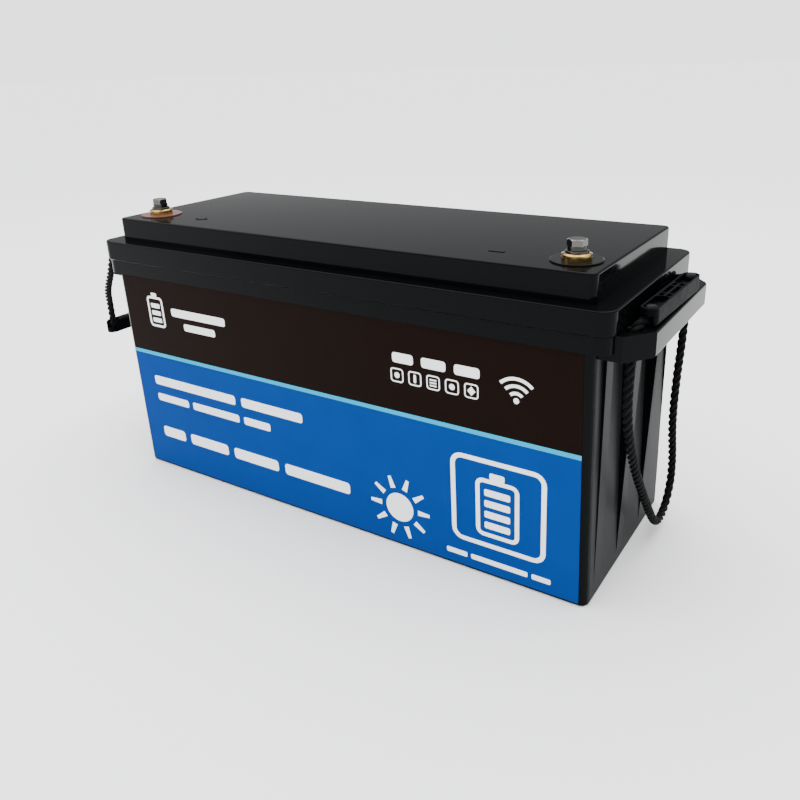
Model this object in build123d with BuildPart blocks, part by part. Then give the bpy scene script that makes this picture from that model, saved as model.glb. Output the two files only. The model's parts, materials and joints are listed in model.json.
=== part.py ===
from build123d import *
import math
import os

os.makedirs("parts", exist_ok=True)

# Deep cycle battery in a moulded case with rope handles.
# Millimetres. X runs along the case, -Y is the labelled front, +Z is up.
# The origin is on the resting plane, under the middle of the case.

# ---------------------------------------------------------------- driving dimensions
JAR_HALF_LENGTH_BASE = 215.4
JAR_HALF_LENGTH_TOP = 213.5
JAR_HALF_WIDTH_BASE = 79.0
JAR_HALF_WIDTH_TOP = 82.4
JAR_CORNER = 6.0
CAVITY_HALF_LENGTH = 206.5
CAVITY_HALF_WIDTH = 75.0
FLOOR = 4.0

BAND_BOTTOM = 181.7
SEAM = 193.0
BAND_HALF_LENGTH = 223.5
BAND_HALF_WIDTH = 84.6
BAND_CORNER = 10.0

TONGUE_TOP = 202.5
TONGUE_HALF_LENGTH = 213.0
TONGUE_HALF_WIDTH = 80.5
WELD_GAP = 0.3

SKIRT_HALF_LENGTH = 224.5
SKIRT_HALF_WIDTH = 86.0
LEDGE = 209.1
SEAM_BEVEL = 1.0
DECK_HALF_LENGTH = 209.8
DECK_HALF_WIDTH = 75.4
DECK_CORNER = 5.0
DECK = 227.6
LID_WALL = 3.5

SHELF_BOTTOM = 176.8
SHELF_REACH = 242.2
SHELF_NOSE = 228.0
SHELF_HALF_WIDTH = 76.4
SHELF_FLAT_HALF_WIDTH = 58.2

RIB_BASE_HEIGHT = 8.0
RIB_REACH = 221.0
POCKET_REACH = 210.8
RIB_STARTS = (-21.0, 29.4)
RIB_WIDTH = 12.0
CORNER_RIB = (-66.0, 12.0, 216.0)
POCKETS = ((-54.0, -21.0), (-9.0, 29.4), (41.4, 77.5))

ROPE_D = 7.0
ROPE_HOLE_X = 228.6
ROPE_HOLE_Y = 61.0
ROPE_HOLE_D = 9.6

GRIP_LENGTH = 93.0
GRIP_WIDTH = 11.2
GRIP_HEIGHT = 12.0
GRIP_HOLE_Y = 40.0

TERMINAL_X = 187.5
TERMINAL_Y = -49.0
RING_D = 33.0
INSERT_D = 18.8
RING_BORE = INSERT_D - 0.4
INSERT_BORE_D = 16.0
BOSS_D = 34.0
RING_SINK = 1.5
MARK_RISE = 0.35
RING_TOP = DECK + 1.0
INSERT_TOP = DECK + 5.0
INSERT_BOTTOM = 210.0

CELL_COUNT = 8
CELL_THICKNESS = 36.7
CELL_WIDTH = 130.0
CELL_HEIGHT = 195.0
CELL_BOTTOM = 8.0
CELL_GAP = 1.0
PACK_START = -176.0
END_PLATE = 5.0
POST_Y = 47.0

CELL_TOP = CELL_BOTTOM + CELL_HEIGHT
CELL_PITCH = CELL_THICKNESS + CELL_GAP
FIRST_CELL_X = PACK_START + END_PLATE + CELL_THICKNESS / 2
CELL_XS = [FIRST_CELL_X + i * CELL_PITCH for i in range(CELL_COUNT)]
PACK_END = CELL_XS[-1] + CELL_THICKNESS / 2 + END_PLATE
PACK_MIDDLE = (PACK_START + PACK_END) / 2
POST_TOP = CELL_TOP + 3.0
BAR_TOP = POST_TOP + 2.0


def save(shape, name):
    """Labels a finished piece and writes it under the name of its node."""
    shape.label = name
    export_step(shape, f"parts/{name}.step")


def rounded_slab(half_length, half_width, corner, low, high):
    """A rounded rectangle stood up between two heights, added to the open part."""
    with BuildSketch(Plane.XY.offset(low)) as plan:
        RectangleRounded(2 * half_length, 2 * half_width, corner)
    extrude(plan.sketch, amount=high - low)


# ---------------------------------------------------------------- jar
with BuildPart() as jar:
    with BuildSketch():
        RectangleRounded(2 * JAR_HALF_LENGTH_BASE, 2 * JAR_HALF_WIDTH_BASE, JAR_CORNER)
    with BuildSketch(Plane.XY.offset(BAND_BOTTOM)):
        RectangleRounded(2 * JAR_HALF_LENGTH_TOP, 2 * JAR_HALF_WIDTH_TOP, JAR_CORNER)
    loft(ruled=True)
    fillet(jar.edges().group_by(Axis.Z)[0], radius=2.0)
    # tapering pockets let into both end walls, deepest under the shelf
    for low_y, high_y in POCKETS:
        with BuildSketch(Plane.XZ.offset(-high_y)):
            with BuildLine():
                Polyline(
                    (JAR_HALF_LENGTH_BASE + 1.0, RIB_BASE_HEIGHT),
                    (JAR_HALF_LENGTH_BASE, RIB_BASE_HEIGHT),
                    (POCKET_REACH, BAND_BOTTOM),
                    (JAR_HALF_LENGTH_BASE + 1.0, BAND_BOTTOM),
                    close=True,
                )
            make_face()
            mirror(about=Plane.YZ)
        extrude(amount=high_y - low_y, mode=Mode.SUBTRACT)
    # gusset ribs that lean out to carry the shelf
    for start in RIB_STARTS:
        with BuildSketch(Plane.XZ.offset(-start - RIB_WIDTH)):
            with BuildLine():
                Polyline(
                    (JAR_HALF_LENGTH_BASE - 6.0, RIB_BASE_HEIGHT),
                    (JAR_HALF_LENGTH_BASE - 0.1, RIB_BASE_HEIGHT),
                    (RIB_REACH, BAND_BOTTOM),
                    (POCKET_REACH - 2.0, BAND_BOTTOM),
                    close=True,
                )
            make_face()
            mirror(about=Plane.YZ)
        extrude(amount=RIB_WIDTH)
    corner_start, corner_width, corner_reach = CORNER_RIB
    with BuildSketch(Plane.XZ.offset(-corner_start - corner_width)):
        with BuildLine():
            Polyline(
                (JAR_HALF_LENGTH_BASE - 6.0, RIB_BASE_HEIGHT),
                (JAR_HALF_LENGTH_BASE - 0.1, RIB_BASE_HEIGHT),
                (corner_reach, BAND_BOTTOM),
                (POCKET_REACH - 2.0, BAND_BOTTOM),
                close=True,
            )
        make_face()
        mirror(about=Plane.YZ)
    extrude(amount=corner_width)
    rounded_slab(BAND_HALF_LENGTH, BAND_HALF_WIDTH, BAND_CORNER, BAND_BOTTOM, SEAM)
    with BuildSketch(Plane.XY.offset(SHELF_BOTTOM)):
        with BuildLine():
            Polyline(
                (209.0, 0),
                (SHELF_REACH, 0),
                (SHELF_REACH, SHELF_FLAT_HALF_WIDTH),
                (SHELF_NOSE, SHELF_HALF_WIDTH),
                (209.0, SHELF_HALF_WIDTH),
                close=True,
            )
        make_face()
        mirror(about=Plane.XZ)
        mirror(about=Plane.YZ)
    extrude(amount=SEAM - SHELF_BOTTOM)
    rounded_slab(TONGUE_HALF_LENGTH, TONGUE_HALF_WIDTH, JAR_CORNER, SEAM, TONGUE_TOP)
    with BuildSketch(Plane.XY.offset(FLOOR)):
        RectangleRounded(2 * CAVITY_HALF_LENGTH, 2 * CAVITY_HALF_WIDTH, 4.0)
    extrude(amount=TONGUE_TOP - FLOOR, mode=Mode.SUBTRACT)
    # three shallow recesses under each shelf keep its wall even
    with BuildSketch(Plane.XY.offset(SHELF_BOTTOM)):
        for side in (-1, 1):
            with Locations((side * 231.5, -33.0), (side * 231.5, 0.0), (side * 231.5, 33.0)):
                RectangleRounded(13.0, 28.0, 2.0)
    extrude(amount=11.0, mode=Mode.SUBTRACT)
    outer_edges = (
        jar.edges()
        .filter_by(Axis.Y)
        .filter_by(lambda e: abs(abs(e.center().X) - SHELF_REACH) < 0.1)
    )
    fillet(outer_edges, radius=1.5)
    with Locations(*[(sx * ROPE_HOLE_X, sy * ROPE_HOLE_Y, SEAM) for sx in (-1, 1) for sy in (-1, 1)]):
        CounterSinkHole(radius=ROPE_HOLE_D / 2, counter_sink_radius=ROPE_HOLE_D / 2 + 1.2, depth=20.0)
save(jar.part, "jar")

# ---------------------------------------------------------------- lid
with BuildPart() as lid:
    rounded_slab(SKIRT_HALF_LENGTH, SKIRT_HALF_WIDTH, BAND_CORNER, SEAM, LEDGE)
    chamfer(lid.edges().group_by(Axis.Z)[0], length=SEAM_BEVEL)
    fillet(lid.edges().group_by(Axis.Z)[-1], radius=1.0)
    rounded_slab(DECK_HALF_LENGTH, DECK_HALF_WIDTH, DECK_CORNER, LEDGE - 1.0, DECK)
    fillet(lid.edges().group_by(Axis.Z)[-1], radius=1.4)
    # socket for the jar's tongue, then the hollow under the raised deck
    socket_top = TONGUE_TOP + WELD_GAP
    with BuildSketch(Plane.XY.offset(SEAM)):
        RectangleRounded(
            2 * (TONGUE_HALF_LENGTH + WELD_GAP),
            2 * (TONGUE_HALF_WIDTH + WELD_GAP),
            JAR_CORNER,
        )
    extrude(amount=socket_top - SEAM, mode=Mode.SUBTRACT)
    with BuildSketch(Plane.XY.offset(SEAM)):
        RectangleRounded(
            2 * (DECK_HALF_LENGTH - LID_WALL),
            2 * (DECK_HALF_WIDTH - LID_WALL),
            DECK_CORNER,
        )
    extrude(amount=DECK - LID_WALL - SEAM, mode=Mode.SUBTRACT)
    # bosses that hold the terminal inserts
    with BuildSketch(Plane.XY.offset(INSERT_BOTTOM + 6.0)):
        with Locations((-TERMINAL_X, TERMINAL_Y), (TERMINAL_X, TERMINAL_Y)):
            Circle(BOSS_D / 2)
    extrude(amount=DECK - LID_WALL + 0.5 - (INSERT_BOTTOM + 6.0))
    # seats for the rings, and bores for the inserts
    with BuildSketch(Plane.XY.offset(DECK - RING_SINK)):
        with Locations((-TERMINAL_X, TERMINAL_Y), (TERMINAL_X, TERMINAL_Y)):
            Circle(RING_D / 2 + 0.25)
    extrude(amount=RING_SINK, mode=Mode.SUBTRACT)
    with Locations((-TERMINAL_X, TERMINAL_Y, DECK), (TERMINAL_X, TERMINAL_Y, DECK)):
        Hole(radius=INSERT_BORE_D / 2, depth=40.0)
    # raised polarity marks, a plus on the left and a minus on the right
    with BuildSketch(Plane.XY.offset(DECK)):
        with Locations((-139.0, TERMINAL_Y)):
            Rectangle(11.0, 2.6)
            Rectangle(2.6, 9.0)
        with Locations((133.0, TERMINAL_Y)):
            Rectangle(11.0, 2.6)
    extrude(amount=MARK_RISE)
save(lid.part, "lid")

# ---------------------------------------------------------------- label
LABEL_THICKNESS = 0.35
LABEL_LOW = 2.6
LABEL_HIGH = 181.0
LABEL_HALF_LENGTH_BASE = 210.0
LABEL_HALF_LENGTH_TOP = 207.5


def front_wall_y(height):
    """How far the leaning front wall stands from the middle at a height."""
    lean = (JAR_HALF_WIDTH_TOP - JAR_HALF_WIDTH_BASE) / BAND_BOTTOM
    return JAR_HALF_WIDTH_BASE + lean * height


wall_tilt = math.degrees(math.atan((JAR_HALF_WIDTH_TOP - JAR_HALF_WIDTH_BASE) / BAND_BOTTOM))
label_plane = Plane(
    origin=(0, -front_wall_y(LABEL_LOW) - 0.02, LABEL_LOW),
    x_dir=(1, 0, 0),
    z_dir=(0, -math.cos(math.radians(wall_tilt)), -math.sin(math.radians(wall_tilt))),
)
with BuildPart() as front_label:
    with BuildSketch(label_plane):
        with BuildLine():
            Polyline(
                (-LABEL_HALF_LENGTH_BASE, 0),
                (LABEL_HALF_LENGTH_BASE, 0),
                (LABEL_HALF_LENGTH_TOP, LABEL_HIGH - LABEL_LOW),
                (-LABEL_HALF_LENGTH_TOP, LABEL_HIGH - LABEL_LOW),
                close=True,
            )
        make_face()
    extrude(amount=LABEL_THICKNESS)
save(front_label.part, "front_label")

# ---------------------------------------------------------------- terminals
STUD_BOTTOM = 198.0
THREAD_D = 8.0
THREAD_BOTTOM = 215.5
FLAT_WASHER = 1.5
FLAT_WASHER_D = 14.4
SPRING_WASHER = 2.7
SPRING_WASHER_D = 11.8
WASHER_BORE = 8.4
HEAD_HEIGHT = 4.3
HEAD_ACROSS_FLATS = 11.0
HEAD_TURN = 21.0
RING_SEAT = DECK - RING_SINK
BARREL_D = 15.96
NUT_HEIGHT = 6.0
NUT_ACROSS_FLATS = 13.0
LUG = 2.0
WASHER_TOP = INSERT_TOP + FLAT_WASHER
HEAD_BOTTOM = WASHER_TOP + SPRING_WASHER
HEAD_TOP = HEAD_BOTTOM + HEAD_HEIGHT
HEAD_ROUND = HEAD_ACROSS_FLATS / math.sqrt(3) + 0.1
BOLT_END = HEAD_BOTTOM - 18.0
TERMINALS = [(-TERMINAL_X, TERMINAL_Y), (TERMINAL_X, TERMINAL_Y)]

for name, (x, y) in zip(("positive", "negative"), TERMINALS):
    with BuildPart() as ring:
        with BuildSketch(Plane.XY.offset(RING_SEAT + 0.1)):
            with Locations((x, y)):
                Circle(RING_D / 2)
                Circle(RING_BORE / 2, mode=Mode.SUBTRACT)
        extrude(amount=RING_TOP - RING_SEAT - 0.1)
        fillet(ring.edges().group_by(Axis.Z)[-1].sort_by(SortBy.LENGTH)[-1], radius=0.4)
    save(ring.part, f"{name}_ring")

    with BuildPart() as insert:
        # the collar above the ring, grooved round its side and bevelled at its top
        with BuildSketch(Plane(origin=(x, y, 0), x_dir=(1, 0, 0), z_dir=(0, -1, 0))):
            with BuildLine():
                Polyline(
                    (0, RING_TOP),
                    (INSERT_D / 2, RING_TOP),
                    (INSERT_D / 2, RING_TOP + 1.6),
                    (INSERT_D / 2 - 0.35, RING_TOP + 1.8),
                    (INSERT_D / 2 - 0.35, RING_TOP + 2.1),
                    (INSERT_D / 2, RING_TOP + 2.3),
                    (INSERT_D / 2, INSERT_TOP - 0.8),
                    (INSERT_D / 2 - 1.4, INSERT_TOP),
                    (0, INSERT_TOP),
                    close=True,
                )
            make_face()
        revolve(axis=Axis((x, y, 0), (0, 0, 1)))
        # the barrel that the lid is moulded round, and the stud below it
        with BuildSketch(Plane.XY.offset(INSERT_BOTTOM)):
            with Locations((x, y)):
                Circle(BARREL_D / 2)
        extrude(amount=RING_TOP - INSERT_BOTTOM)
        with BuildSketch(Plane.XY.offset(STUD_BOTTOM)):
            with Locations((x, y)):
                Circle(THREAD_D / 2 - 0.05)
        extrude(amount=INSERT_BOTTOM - STUD_BOTTOM)
        with BuildSketch(Plane.XY.offset(THREAD_BOTTOM)):
            with Locations((x, y)):
                Circle(THREAD_D / 2 + 0.05)
        extrude(amount=INSERT_TOP - THREAD_BOTTOM + 1.0, mode=Mode.SUBTRACT)
    save(insert.part, f"{name}_insert")

    with BuildPart() as flat_washer:
        with BuildSketch(Plane.XY.offset(INSERT_TOP)):
            with Locations((x, y)):
                Circle(FLAT_WASHER_D / 2)
                Circle(WASHER_BORE / 2, mode=Mode.SUBTRACT)
        extrude(amount=FLAT_WASHER)
        chamfer(flat_washer.edges().group_by(Axis.Z)[-1].sort_by(SortBy.LENGTH)[-1], length=0.3)
    save(flat_washer.part, f"{name}_flat_washer")

    with BuildPart() as spring_washer:
        with BuildSketch(Plane.XY.offset(WASHER_TOP)):
            with Locations((x, y)):
                Circle(SPRING_WASHER_D / 2)
                Circle(WASHER_BORE / 2, mode=Mode.SUBTRACT)
            with Locations((x + 5.0, y)):
                Rectangle(4.0, 0.9, rotation=25, mode=Mode.SUBTRACT)
        extrude(amount=SPRING_WASHER)
    save(spring_washer.part, f"{name}_spring_washer")

    with BuildPart() as bolt:
        with BuildSketch(Plane.XY.offset(HEAD_BOTTOM)):
            with Locations((x, y)):
                RegularPolygon(HEAD_ACROSS_FLATS / 2, 6, major_radius=False, rotation=HEAD_TURN)
        extrude(amount=HEAD_HEIGHT)
        # the bevel that rounds the head's six corners off at its top
        with BuildSketch(Plane(origin=(x, y, 0), x_dir=(1, 0, 0), z_dir=(0, -1, 0))):
            with BuildLine():
                Polyline(
                    (0, HEAD_BOTTOM),
                    (HEAD_ROUND, HEAD_BOTTOM),
                    (HEAD_ROUND, HEAD_TOP - 0.8),
                    (HEAD_ACROSS_FLATS / 2 - 0.3, HEAD_TOP),
                    (0, HEAD_TOP),
                    close=True,
                )
            make_face()
        revolve(axis=Axis((x, y, 0), (0, 0, 1)), mode=Mode.INTERSECT)
        with BuildSketch(Plane.XY.offset(BOLT_END)):
            with Locations((x, y)):
                Circle(THREAD_D / 2)
        extrude(amount=HEAD_BOTTOM - BOLT_END)
        chamfer(bolt.edges().group_by(Axis.Z)[0], length=0.8)
    save(bolt.part, f"{name}_bolt")

SEAL_SECTION = (RING_BORE - BARREL_D) / 4 - 0.03
with BuildPart() as terminal_seals:
    for x, y in TERMINALS:
        with BuildSketch(Plane(origin=(x, y, 0), x_dir=(1, 0, 0), z_dir=(0, -1, 0))):
            with Locations(((RING_BORE + BARREL_D) / 4, RING_SEAT + SEAL_SECTION + 0.04)):
                Circle(SEAL_SECTION)
        revolve(axis=Axis((x, y, 0), (0, 0, 1)))
save(terminal_seals.part, "terminal_seals")

# the positive nut clamps a link and a spacer, the negative one a single lug
with BuildPart() as terminal_nuts:
    for (x, y), clamped in zip(TERMINALS, (2 * LUG, LUG)):
        with BuildSketch(Plane.XY.offset(INSERT_BOTTOM - clamped - NUT_HEIGHT)):
            with Locations((x, y)):
                RegularPolygon(NUT_ACROSS_FLATS / 2, 6, major_radius=False)
                Circle(THREAD_D / 2, mode=Mode.SUBTRACT)
        extrude(amount=NUT_HEIGHT)
save(terminal_nuts.part, "terminal_nuts")

# ---------------------------------------------------------------- handles
KNOT_POCKET = 3.6
KNOT_D = 8.4
KNOT_HEIGHT = 4.5
GRIP_GROOVE = ROPE_D + 0.4


def grip_solid(centre, along, upright):
    """A grip bar: ribbed on its flat side, rounded on the other.

    centre is the middle of its lowest face, and along the direction of its length."""
    half = GRIP_LENGTH / 2
    sense = 1 if upright else -1
    base = centre if upright else (centre[0], centre[1], centre[2] + GRIP_HEIGHT)
    plane = Plane(origin=base, x_dir=along, z_dir=(0, 0, sense))
    with BuildPart() as grip:
        with BuildSketch(plane):
            SlotOverall(GRIP_LENGTH, GRIP_WIDTH)
        extrude(amount=GRIP_HEIGHT)
        underside = grip.faces().sort_by(Axis.Z)[0 if upright else -1]
        fillet(underside.edges(), radius=3.2)
        # knot pockets at the ends, and cells either side of the centre rib
        with BuildSketch(plane.offset(GRIP_HEIGHT - KNOT_POCKET)):
            with Locations((-GRIP_HOLE_Y + 9.5, 0), (GRIP_HOLE_Y - 9.5, 0)):
                SlotOverall(29.0, GRIP_WIDTH - 2.4)
        extrude(amount=KNOT_POCKET + 1.0, mode=Mode.SUBTRACT)
        with BuildSketch(plane.offset(GRIP_HEIGHT - 8.0)):
            for offset in (-2.35, 2.35):
                with Locations((-12.7, offset), (12.7, offset)):
                    Rectangle(5.6, 3.0)
                with Locations((0, offset)):
                    Rectangle(16.8, 3.0)
        extrude(amount=9.0, mode=Mode.SUBTRACT)
        with BuildSketch(plane):
            with Locations((-GRIP_HOLE_Y, 0), (GRIP_HOLE_Y, 0)):
                Circle(GRIP_GROOVE / 2)
        extrude(amount=GRIP_HEIGHT, mode=Mode.SUBTRACT)
        # grooves that let the rope leave along the shelf when the grip is stowed
        with BuildSketch(plane):
            for end in (-1, 1):
                with BuildLine():
                    Polyline(
                        (end * (GRIP_HOLE_Y - 3.0), -GRIP_GROOVE / 2),
                        (end * (half + 1.0), -GRIP_GROOVE / 2),
                        (end * (half + 1.0), GRIP_GROOVE / 2 + 5.0),
                        (end * (GRIP_HOLE_Y - 3.0), GRIP_GROOVE / 2 + 0.4),
                        close=True,
                    )
                make_face()
                with Locations((end * (GRIP_HOLE_Y - 3.0), 0)):
                    Circle(GRIP_GROOVE / 2)
        extrude(amount=GRIP_GROOVE, mode=Mode.SUBTRACT)
    return grip.part


STOWED_ANGLE = math.radians(1.7)
STOWED_ALONG = (math.sin(STOWED_ANGLE), math.cos(STOWED_ANGLE), 0)
RIGHT_GRIP = (236.0, -9.2, SEAM + 0.05)
LEFT_GRIP = (-294.6, 0.0, 103.0)
save(grip_solid(RIGHT_GRIP, STOWED_ALONG, True), "right_grip")
save(grip_solid(LEFT_GRIP, (0, 1, 0), False), "left_grip")


def cord_solid(points, diameter, name):
    """A round cord along straight runs, joined by the largest arcs they allow."""
    radii = []
    for before, corner, after in zip(points, points[1:], points[2:]):
        arriving = Vector(*corner) - Vector(*before)
        leaving = Vector(*after) - Vector(*corner)
        half_turn = math.radians(arriving.get_angle(leaving)) / 2
        radii.append(0.45 * min(arriving.length, leaving.length) / math.tan(half_turn))
    with BuildPart() as cord:
        with BuildLine() as path:
            FilletPolyline(*points, radius=radii)
        route = path.wire()
        with BuildSketch(Plane(origin=route @ 0, z_dir=route % 0)):
            Circle(diameter / 2)
        sweep(path=route)
    section = math.pi * diameter**2 / 4
    print(name, "length", round(route.length, 1), "radii", [round(r, 1) for r in radii])
    print("   volume over section x length", round(cord.part.volume / (section * route.length), 4))
    return cord.part


ON_SHELF = SEAM + 0.25 + ROPE_D / 2
RIGHT_ROPE_ROUTE = [
    (234.9, -46.7, ON_SHELF),
    (228.6, -61.0, ON_SHELF + 0.4),
    (228.6, -61.2, 172.0),
    (228.7, -62.6, 134.0),
    (229.2, -42.0, 93.0),
    (229.6, -4.0, 44.0),
    (229.8, 22.0, 13.0),
    (229.8, 44.0, 10.6),
    (229.7, 59.6, 25.8),
    (229.5, 61.0, 49.0),
    (229.2, 50.0, 84.0),
    (229.0, 51.5, 118.0),
    (228.6, 61.2, 150.0),
    (228.6, 60.9, 176.0),
    (228.6, 61.0, ON_SHELF + 0.4),
    (232.8, 44.6, ON_SHELF + 0.2),
    (236.9, 29.2, ON_SHELF),
]
save(cord_solid(RIGHT_ROPE_ROUTE, ROPE_D, "right_rope"), "right_rope")

LEFT_LOOP_ROUTE = [
    (-231.4, -61.0, 198.6),
    (-228.6, -61.0, 190.2),
    (-228.6, -60.9, 172.0),
    (-228.9, -60.2, 157.0),
    (-229.4, -43.0, 131.0),
    (-229.8, -14.0, 118.5),
    (-229.8, 18.0, 120.0),
    (-229.4, 46.0, 134.0),
    (-228.9, 60.6, 158.0),
    (-228.6, 60.9, 172.0),
    (-228.6, 61.0, 190.2),
    (-231.4, 61.0, 198.6),
]
save(cord_solid(LEFT_LOOP_ROUTE, ROPE_D, "left_rope_loop"), "left_rope_loop")

LEFT_GRIP_TOP = LEFT_GRIP[2] + GRIP_HEIGHT
KNOT_SEAT = GRIP_HEIGHT - KNOT_POCKET
with BuildPart() as left_rope_legs:
    for end in (-1, 1):
        leg = cord_solid(
            [
                (-237.5, end * 61.0, 202.6),
                (-247.0, end * 60.8, 203.8),
                (-256.0, end * 60.0, 190.0),
                (-262.0, end * 58.0, 171.0),
                (-278.0, end * 51.0, 149.0),
                (LEFT_GRIP[0], end * GRIP_HOLE_Y, 129.0),
                (LEFT_GRIP[0], end * GRIP_HOLE_Y, LEFT_GRIP_TOP - KNOT_SEAT + 0.1),
            ],
            ROPE_D,
            "left_rope_leg",
        )
        add(leg)
save(left_rope_legs.part, "left_rope_legs")


def rope_ends(centre, along, upright, name):
    """The fused rope ends that sit as domes in the grip's two pockets."""
    sense = 1 if upright else -1
    seat = centre[2] + (KNOT_SEAT if upright else GRIP_HEIGHT - KNOT_SEAT)
    middle = (centre[0], centre[1], seat + sense * 0.02)
    with BuildPart() as domes:
        with BuildSketch(Plane(origin=middle, x_dir=along, z_dir=(0, 0, sense))):
            with Locations((-GRIP_HOLE_Y, 0), (GRIP_HOLE_Y, 0)):
                Circle(KNOT_D / 2)
        extrude(amount=KNOT_HEIGHT)
        fillet(domes.edges().group_by(Axis.Z)[-1 if upright else 0], radius=3.2)
    save(domes.part, name)


rope_ends(RIGHT_GRIP, STOWED_ALONG, True, "right_rope_ends")
rope_ends(LEFT_GRIP, (0, 1, 0), False, "left_rope_ends")

# ---------------------------------------------------------------- cell pack
for number, x in enumerate(CELL_XS, start=1):
    with BuildPart() as cell:
        with BuildSketch(Plane.XY.offset(CELL_BOTTOM)):
            with Locations((x, 0)):
                RectangleRounded(CELL_THICKNESS, CELL_WIDTH, 3.0)
        extrude(amount=CELL_HEIGHT)
        # terminal posts, and the burst disc between them
        with BuildSketch(Plane.XY.offset(CELL_TOP)):
            with Locations((x, -POST_Y), (x, POST_Y)):
                Circle(8.0)
        extrude(amount=POST_TOP - CELL_TOP)
        with BuildSketch(Plane.XY.offset(CELL_TOP)):
            with Locations((x, 0)):
                SlotOverall(20.0, 10.0, rotation=90)
        extrude(amount=0.5)
        with BuildSketch(Plane.XY.offset(POST_TOP)):
            with Locations((x, -POST_Y), (x, POST_Y)):
                Circle(3.0)
        extrude(amount=9.0)
    save(cell.part, f"cell_{number}")

with BuildPart() as cell_spacers:
    for left, right in zip(CELL_XS, CELL_XS[1:]):
        with BuildSketch(Plane.XY.offset(CELL_BOTTOM)):
            with Locations(((left + right) / 2, 0)):
                Rectangle(CELL_GAP - 0.02, CELL_WIDTH - 4.0)
        extrude(amount=CELL_HEIGHT - 2.0)
save(cell_spacers.part, "cell_spacers")

with BuildPart() as end_plates:
    for x in (PACK_START + END_PLATE / 2, PACK_END - END_PLATE / 2):
        with BuildSketch(Plane.XY.offset(CELL_BOTTOM)):
            with Locations((x, 0)):
                Rectangle(END_PLATE - 0.02, CELL_WIDTH)
        extrude(amount=CELL_HEIGHT - 6.0)
    # dished panels lighten the plates
    with BuildSketch(Plane.YZ.offset(PACK_START - 0.01)):
        with Locations((-31.0, 100.0), (31.0, 100.0)):
            RectangleRounded(50.0, 60.0, 5.0)
    extrude(amount=2.0, mode=Mode.SUBTRACT)
save(end_plates.part, "end_plates")

STRAP = 0.6
with BuildPart() as pack_straps:
    for height in (55.0, 155.0):
        with BuildSketch(Plane.XY.offset(height)):
            with Locations((PACK_MIDDLE, 0)):
                outer_length = PACK_END - PACK_START + 2 * STRAP + 0.1
                outer_width = CELL_WIDTH + 2 * STRAP + 0.1
                RectangleRounded(outer_length, outer_width, 1.5)
                Rectangle(outer_length - 2 * STRAP, outer_width - 2 * STRAP, mode=Mode.SUBTRACT)
        extrude(amount=14.0)
save(pack_straps.part, "pack_straps")

# series links hop from one side to the other along the pack
LINKS = [(i, POST_Y if i % 2 == 0 else -POST_Y) for i in range(CELL_COUNT - 1)]
with BuildPart() as bus_bars:
    for i, y in LINKS:
        with BuildSketch(Plane.XY.offset(POST_TOP)):
            with Locations((CELL_XS[i] + CELL_PITCH / 2, y)):
                RectangleRounded(CELL_PITCH + 18.0, 17.0, 3.0)
            with Locations((CELL_XS[i], y), (CELL_XS[i + 1], y)):
                Circle(3.2, mode=Mode.SUBTRACT)
        extrude(amount=BAR_TOP - POST_TOP)
save(bus_bars.part, "bus_bars")

POSITIVE_POST = (CELL_XS[0], -POST_Y)
NEGATIVE_POST = (CELL_XS[-1], -POST_Y)
with BuildPart() as post_nuts:
    with BuildSketch(Plane.XY.offset(BAR_TOP)):
        with Locations(*[(x, y) for x in CELL_XS for y in (-POST_Y, POST_Y)]):
            Circle(7.0)
            Circle(3.1, mode=Mode.SUBTRACT)
    extrude(amount=1.2)
    with BuildSketch(Plane.XY.offset(BAR_TOP + 1.2)):
        with Locations(*[(x, y) for x in CELL_XS for y in (-POST_Y, POST_Y)]):
            RegularPolygon(5.0, 6, major_radius=False)
            Circle(3.1, mode=Mode.SUBTRACT)
    extrude(amount=5.0)
save(post_nuts.part, "post_nuts")

# flat copper link from the first cell to the positive insert
with BuildPart() as positive_link:
    with BuildSketch(Plane.XY.offset(POST_TOP)):
        with Locations(((POSITIVE_POST[0] - TERMINAL_X) / 2, (TERMINAL_Y - POST_Y) / 2)):
            SlotOverall(POSITIVE_POST[0] + TERMINAL_X + 16.0, 16.0)
        with Locations((POSITIVE_POST[0], -POST_Y)):
            Circle(3.2, mode=Mode.SUBTRACT)
        with Locations((-TERMINAL_X, TERMINAL_Y)):
            Circle(4.1, mode=Mode.SUBTRACT)
    extrude(amount=2.0)
save(positive_link.part, "positive_link")

with BuildPart() as positive_spacer:
    with BuildSketch(Plane.XY.offset(BAR_TOP)):
        with Locations((-TERMINAL_X, TERMINAL_Y)):
            Circle(7.5)
            Circle(4.1, mode=Mode.SUBTRACT)
    extrude(amount=INSERT_BOTTOM - BAR_TOP)
save(positive_spacer.part, "positive_spacer")

# ---------------------------------------------------------------- battery management system
BMS_X = 160.0
BMS_LOW = 14.0
BMS_HIGH = 176.0
with BuildPart() as bms_heatsink:
    with BuildSketch(Plane.XY.offset(BMS_LOW)):
        with Locations((BMS_X, 0)):
            Rectangle(4.0, 110.0)
        for k in range(11):
            with Locations((BMS_X - 5.0, -50.0 + 10.0 * k)):
                Rectangle(6.2, 2.0)
    extrude(amount=BMS_HIGH - BMS_LOW)
save(bms_heatsink.part, "bms_heatsink")

BOARD_FACE = BMS_X + 2.0
with BuildPart() as bms_board:
    with BuildSketch(Plane.YZ.offset(BOARD_FACE + 3.0)):
        with Locations((0, (BMS_LOW + BMS_HIGH) / 2)):
            RectangleRounded(104.0, BMS_HIGH - BMS_LOW - 8.0, 3.0)
        with Locations(*[(y, z) for y in (-46, 46) for z in (BMS_LOW + 10, BMS_HIGH - 10)]):
            Circle(1.7, mode=Mode.SUBTRACT)
    extrude(amount=1.6)
save(bms_board.part, "bms_board")

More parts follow.
